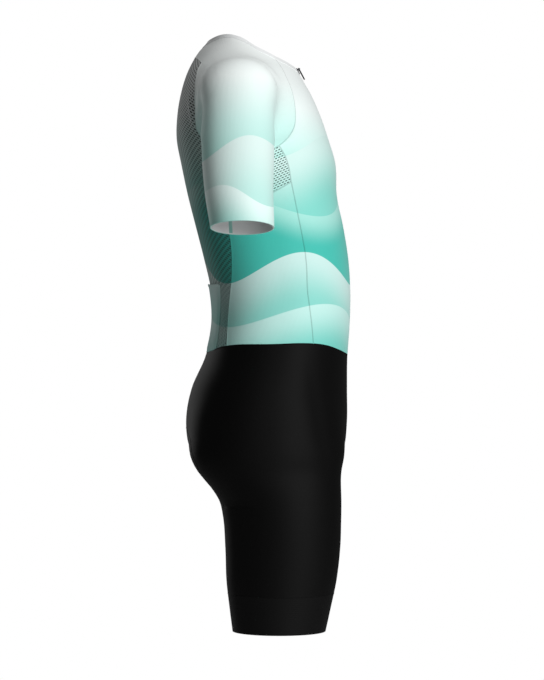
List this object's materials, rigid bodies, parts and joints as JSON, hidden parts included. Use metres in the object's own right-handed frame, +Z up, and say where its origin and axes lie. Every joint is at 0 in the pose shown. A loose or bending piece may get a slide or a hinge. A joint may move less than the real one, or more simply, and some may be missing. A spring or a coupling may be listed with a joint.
{
  "type": "triathlon suit",
  "caption": "Short-sleeved one-piece triathlon suit, printed knit body with open-mesh back, black fitted shorts, front zip.",
  "frame": {"origin": "midway between the shoulders, at the level where the shoulder cloth rests on the wearer", "axes": "+Z up, the suit faces -Y, the wearer's right side is -X"},
  "size_m": [0.603, 0.2775, 0.9368],
  "materials": {
    "printed_knit": "satin knit, pale at the shoulders and teal below",
    "open_mesh": "open mesh knit",
    "black_knit": "smooth elastic knit",
    "gripper_band": "smooth elastic band",
    "neck_binding": "doubled knit binding",
    "zip_tape": "woven tape",
    "dark_metal": "satin"
  },
  "bodies": {
    "suit": {"front_right": "printed_knit", "front_left": "printed_knit", "side_panel_right": "printed_knit", "side_panel_left": "printed_knit", "underarm_mesh_right": "open_mesh", "underarm_mesh_left": "open_mesh", "sleeve_right": "printed_knit", "sleeve_left": "printed_knit", "zip_tape_right": "zip_tape", "zip_tape_left": "zip_tape", "shorts_right": "black_knit", "shorts_left": "black_knit", "leg_band_right": "gripper_band", "leg_band_left": "gripper_band", "back_mesh": "open_mesh", "back_pocket": "printed_knit", "collar": "neck_binding", "seat_gusset": "black_knit", "zip_slider": "dark_metal"},
    "pull_tab": {"zip_pull": "dark_metal"}
  },
  "joints": [
    {"name": "pull_swing", "type": "hinge", "parent": "suit", "child": "pull_tab", "pos_m": [0, -0.09439, -0.01676], "axis": [-1, 0, 0], "range_deg": [0, 150]}
  ]
}
